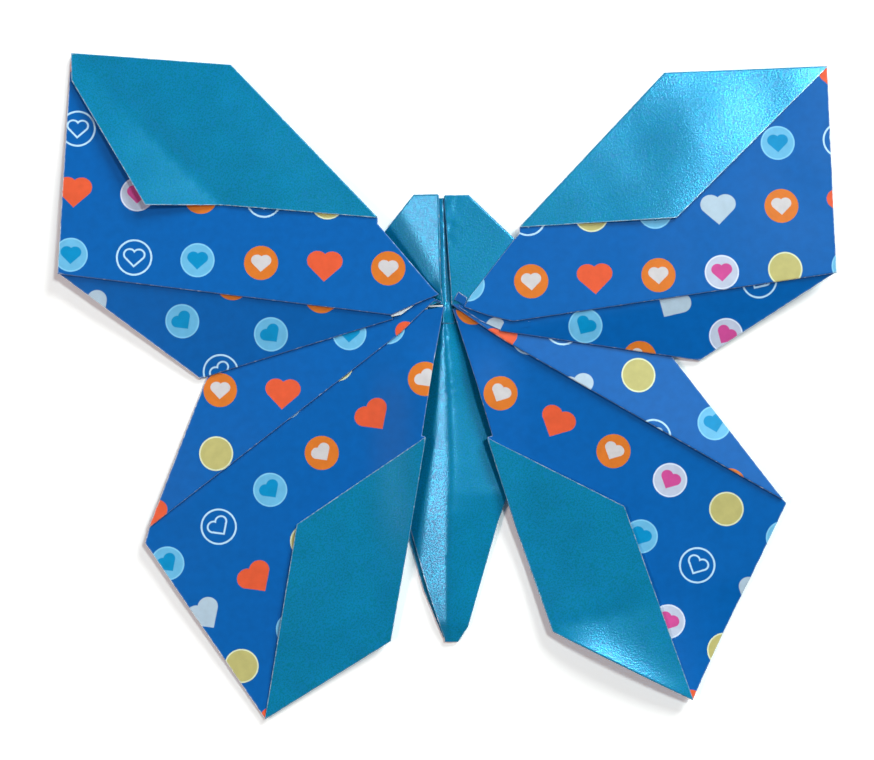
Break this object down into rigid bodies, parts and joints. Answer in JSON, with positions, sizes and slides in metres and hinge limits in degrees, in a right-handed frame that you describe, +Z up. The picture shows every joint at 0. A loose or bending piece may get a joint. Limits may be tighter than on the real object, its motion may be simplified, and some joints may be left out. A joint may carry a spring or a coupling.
{
  "type": "origami butterfly",
  "caption": "Origami butterfly folded from a single printed square, with pleated wings, flaps turned over to the plain side, a head and a long body.",
  "frame": {"origin": "centre of the underside, on the surface that the butterfly lies on", "axes": "+X toward the right wings, +Y toward the head, +Z up, away from the surface"},
  "size_m": [0.115, 0.0988, 0.0039],
  "materials": {
    "two_sided_paper": "matte print on one side, pearly teal on the other"
  },
  "bodies": {
    "root": {"folded_sheet": "two_sided_paper"}
  },
  "joints": []
}
